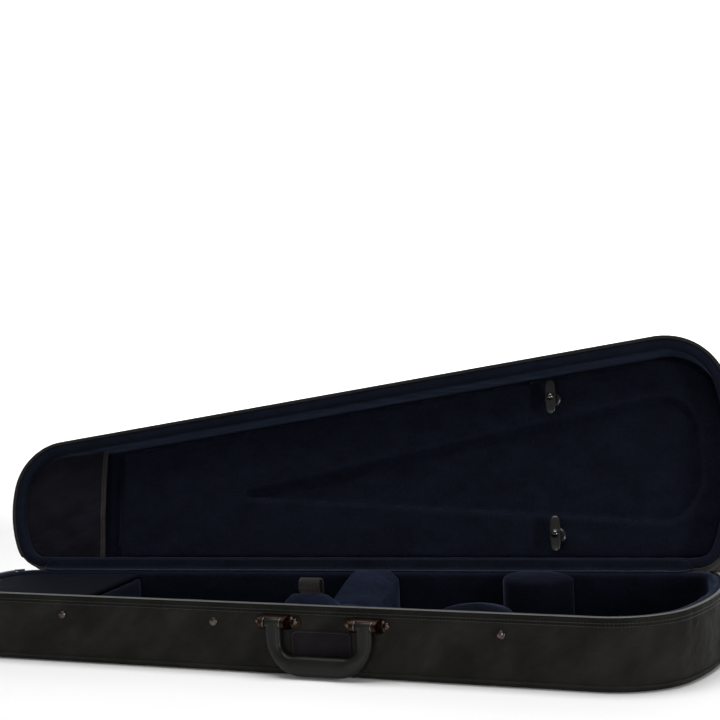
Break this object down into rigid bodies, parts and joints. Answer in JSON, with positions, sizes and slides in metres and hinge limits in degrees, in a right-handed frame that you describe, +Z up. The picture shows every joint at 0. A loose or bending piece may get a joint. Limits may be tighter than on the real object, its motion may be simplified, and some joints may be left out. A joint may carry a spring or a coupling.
{
  "type": "violin case",
  "caption": "Tapered zip-closed violin case standing open, black woven cover, plush-lined base and hinged lid, swinging handle.",
  "frame": {"origin": "middle of the base's centre line, on the floor", "axes": "+Z up, X along the hinge with the wide end at +X, the handle side towards -Y"},
  "size_m": [0.7908, 0.3705, 0.2919],
  "materials": {
    "cloth": "black woven nylon",
    "plush": "navy plush",
    "foam": "rigid foam",
    "zip_tape": "woven zip tape",
    "zip_coil": "nylon coil",
    "metal": "nickel plate",
    "handle_plastic": "moulded gloss plastic",
    "pocket_cloth": "plain woven cloth",
    "black_plastic": "moulded plastic"
  },
  "bodies": {
    "base": {"base_bottom_panel": "cloth", "base_cover": "cloth", "base_piping": "cloth", "base_shell_floor": "foam", "base_shell_wall": "foam", "base_lining": "plush", "base_zip_tape": "zip_tape", "base_zip_coil": "zip_coil", "zip_stops": "metal", "hinge_cover_strip": "cloth", "hinge_plush_strip": "plush", "neck_block_front": "plush", "neck_block_back": "plush", "front_waist_pad": "plush", "back_waist_pad": "plush", "compartment_divider": "plush", "neck_strap": "pocket_cloth", "strap_anchors": "pocket_cloth", "cover_rivets": "metal", "left_handle_bridge": "metal", "right_handle_bridge": "metal", "bridge_rivets": "metal", "badge_patch": "pocket_cloth", "narrow_zip_slider": "metal", "wide_zip_slider": "metal"},
    "lid": {"lid_top_panel": "cloth", "lid_cover": "cloth", "lid_piping": "cloth", "lid_shell_top": "foam", "lid_shell_wall": "foam", "lid_lining": "plush", "lid_zip_tape": "zip_tape", "lid_zip_coil": "zip_coil", "lid_recess_panel": "plush", "lid_pocket": "pocket_cloth", "pocket_binding": "pocket_cloth", "holder_bases": "black_plastic", "holder_screws": "metal"},
    "handle": {"handle": "handle_plastic"},
    "flap": {"flap_board": "foam", "flap_plush": "plush"},
    "narrow_pull": {"narrow_zip_pull": "metal"},
    "wide_pull": {"wide_zip_pull": "metal"},
    "upper_holder": {"upper_bow_holder": "black_plastic"},
    "lower_holder": {"lower_bow_holder": "black_plastic"}
  },
  "joints": [
    {"name": "lid_hinge", "type": "hinge", "parent": "base", "child": "lid", "pos_m": [0, 0.09523, 0.068], "axis": [-1, 0, 0], "range_deg": [-111, 0]},
    {"name": "handle_swing", "type": "hinge", "parent": "base", "child": "handle", "pos_m": [0.0368, -0.11005, 0.0505], "axis": [-0.9885, 0.151, 0], "range_deg": [0, 90]},
    {"name": "flap_hinge", "type": "hinge", "parent": "base", "child": "flap", "pos_m": [-0.229, 0, 0.064], "axis": [0, 1, 0], "range_deg": [0, 110]},
    {"name": "narrow_pull_swing", "type": "hinge", "parent": "base", "child": "narrow_pull", "pos_m": [-0.39201, 0.06616, 0.0635], "axis": [0.3427, 0.9394, 0], "range_deg": [0, 150]},
    {"name": "wide_pull_swing", "type": "hinge", "parent": "base", "child": "wide_pull", "pos_m": [0.39106, 0.06572, 0.0635], "axis": [0.2533, -0.9674, 0], "range_deg": [0, 150]},
    {"name": "upper_holder_turn", "type": "hinge", "parent": "lid", "child": "upper_holder", "pos_m": [0.19896, 0.18678, 0.22839], "axis": [0, -0.9336, 0.3584], "range_deg": [-90, 90]},
    {"name": "lower_holder_turn", "type": "hinge", "parent": "lid", "child": "lower_holder", "pos_m": [0.20986, 0.13533, 0.09434], "axis": [0, -0.9336, 0.3584], "range_deg": [-90, 90]}
  ]
}
